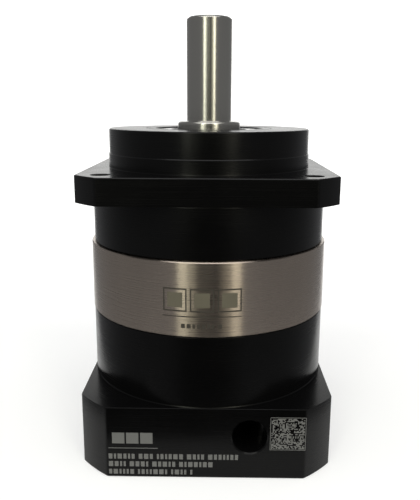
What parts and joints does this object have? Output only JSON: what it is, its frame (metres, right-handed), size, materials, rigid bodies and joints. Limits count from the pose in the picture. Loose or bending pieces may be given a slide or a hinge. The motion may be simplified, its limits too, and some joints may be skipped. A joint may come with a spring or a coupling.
{
  "type": "planetary gearbox",
  "caption": "Coaxial planetary gear reducer with a square output flange, a solid output shaft and a clamped motor-shaft input.",
  "frame": {"origin": "centre of the motor mounting face", "axes": "+Z along the output shaft, away from the motor; -Y towards the face with the clamp screw's access hole"},
  "size_m": [0.0918, 0.0918, 0.1622],
  "materials": {
    "anodised_black": "hard black anodised, fine turned and milled marks, satin gloss",
    "brushed_ring_steel": "fine circumferential brushing, warm grey",
    "ground_steel": "ground, bright",
    "gear_steel": "case-hardened, machined",
    "bearing_steel": "polished",
    "spring_steel": "oiled, phosphated",
    "screw_steel": "black oxide",
    "seal_rubber": "moulded nitrile, matt"
  },
  "bodies": {
    "housing": {"front_housing": "anodised_black", "ring_gear": "brushed_ring_steel", "motor_adapter": "anodised_black", "stack_screw_1": "screw_steel", "stack_screw_2": "screw_steel", "stack_screw_3": "screw_steel", "stack_screw_4": "screw_steel", "stack_screw_5": "screw_steel", "stack_screw_6": "screw_steel", "front_dowel_1": "ground_steel", "front_dowel_2": "ground_steel", "rear_dowel_1": "ground_steel", "rear_dowel_2": "ground_steel", "front_o_ring": "seal_rubber", "rear_o_ring": "seal_rubber", "output_front_bearing_outer_ring": "bearing_steel", "output_rear_bearing_outer_ring": "bearing_steel", "bearing_outer_spacer": "gear_steel", "housing_circlip": "spring_steel", "output_oil_seal": "seal_rubber", "input_bearing_outer_ring": "bearing_steel", "adapter_circlip": "spring_steel", "input_oil_seal": "seal_rubber"},
    "output_shaft_and_carrier": {"output_shaft": "ground_steel", "carrier_rear_plate": "gear_steel", "carrier_screw_1": "screw_steel", "carrier_screw_2": "screw_steel", "carrier_screw_3": "screw_steel", "planet_pin_1": "ground_steel", "planet_pin_2": "ground_steel", "planet_pin_3": "ground_steel", "planet_rear_washer_1": "bearing_steel", "planet_rear_washer_2": "bearing_steel", "planet_rear_washer_3": "bearing_steel", "planet_front_washer_1": "bearing_steel", "planet_front_washer_2": "bearing_steel", "planet_front_washer_3": "bearing_steel", "output_front_bearing_inner_ring": "bearing_steel", "output_rear_bearing_inner_ring": "bearing_steel", "bearing_inner_spacer": "gear_steel", "output_shaft_circlip": "spring_steel"},
    "input_shaft_and_clamp": {"input_sun_shaft": "ground_steel", "input_bearing_inner_ring": "bearing_steel", "input_shaft_circlip": "spring_steel", "clamp_ring": "gear_steel", "clamp_screw": "screw_steel"},
    "planet_1": {"planet_gear_1": "gear_steel"},
    "planet_needles_1": {"planet_needle_cage_1": "bearing_steel"},
    "planet_2": {"planet_gear_2": "gear_steel"},
    "planet_needles_2": {"planet_needle_cage_2": "bearing_steel"},
    "planet_3": {"planet_gear_3": "gear_steel"},
    "planet_needles_3": {"planet_needle_cage_3": "bearing_steel"},
    "front_bearing_balls": {"output_front_bearing_ball_cage": "bearing_steel"},
    "rear_bearing_balls": {"output_rear_bearing_ball_cage": "bearing_steel"},
    "input_bearing_balls": {"input_bearing_ball_cage": "bearing_steel"}
  },
  "joints": [
    {"name": "output_spin", "type": "hinge", "parent": "housing", "child": "output_shaft_and_carrier", "pos_m": [0, 0, 0.097], "axis": [0, 0, 1], "continuous": true},
    {"name": "input_spin", "type": "hinge", "parent": "housing", "child": "input_shaft_and_clamp", "pos_m": [0, 0, 0.036], "axis": [0, 0, 1], "continuous": true},
    {"name": "front_bearing_spin", "type": "hinge", "parent": "housing", "child": "front_bearing_balls", "pos_m": [0, 0, 0.105], "axis": [0, 0, 1], "continuous": true},
    {"name": "rear_bearing_spin", "type": "hinge", "parent": "housing", "child": "rear_bearing_balls", "pos_m": [0, 0, 0.0889], "axis": [0, 0, 1], "continuous": true},
    {"name": "input_bearing_spin", "type": "hinge", "parent": "housing", "child": "input_bearing_balls", "pos_m": [0, 0, 0.036], "axis": [0, 0, 1], "continuous": true},
    {"name": "planet_spin_1", "type": "hinge", "parent": "output_shaft_and_carrier", "child": "planet_1", "pos_m": [0.021, 0, 0.0662], "axis": [0, 0, 1], "continuous": true},
    {"name": "planet_needles_spin_1", "type": "hinge", "parent": "output_shaft_and_carrier", "child": "planet_needles_1", "pos_m": [0.021, 0, 0.0662], "axis": [0, 0, 1], "continuous": true},
    {"name": "planet_spin_2", "type": "hinge", "parent": "output_shaft_and_carrier", "child": "planet_2", "pos_m": [-0.0105, 0.01819, 0.0662], "axis": [0, 0, 1], "continuous": true},
    {"name": "planet_needles_spin_2", "type": "hinge", "parent": "output_shaft_and_carrier", "child": "planet_needles_2", "pos_m": [-0.0105, 0.01819, 0.0662], "axis": [0, 0, 1], "continuous": true},
    {"name": "planet_spin_3", "type": "hinge", "parent": "output_shaft_and_carrier", "child": "planet_3", "pos_m": [-0.0105, -0.01819, 0.0662], "axis": [0, 0, 1], "continuous": true},
    {"name": "planet_needles_spin_3", "type": "hinge", "parent": "output_shaft_and_carrier", "child": "planet_needles_3", "pos_m": [-0.0105, -0.01819, 0.0662], "axis": [0, 0, 1], "continuous": true}
  ],
  "couplings": [
    {"joint": "input_spin", "follows": "output_spin", "ratio": 7},
    {"joint": "front_bearing_spin", "follows": "output_spin", "ratio": 0.42},
    {"joint": "rear_bearing_spin", "follows": "output_spin", "ratio": 0.42},
    {"joint": "input_bearing_spin", "follows": "output_spin", "ratio": 2.94},
    {"joint": "planet_spin_1", "follows": "output_spin", "ratio": -2.4},
    {"joint": "planet_needles_spin_1", "follows": "output_spin", "ratio": -1.45},
    {"joint": "planet_spin_2", "follows": "output_spin", "ratio": -2.4},
    {"joint": "planet_needles_spin_2", "follows": "output_spin", "ratio": -1.45},
    {"joint": "planet_spin_3", "follows": "output_spin", "ratio": -2.4},
    {"joint": "planet_needles_spin_3", "follows": "output_spin", "ratio": -1.45}
  ]
}
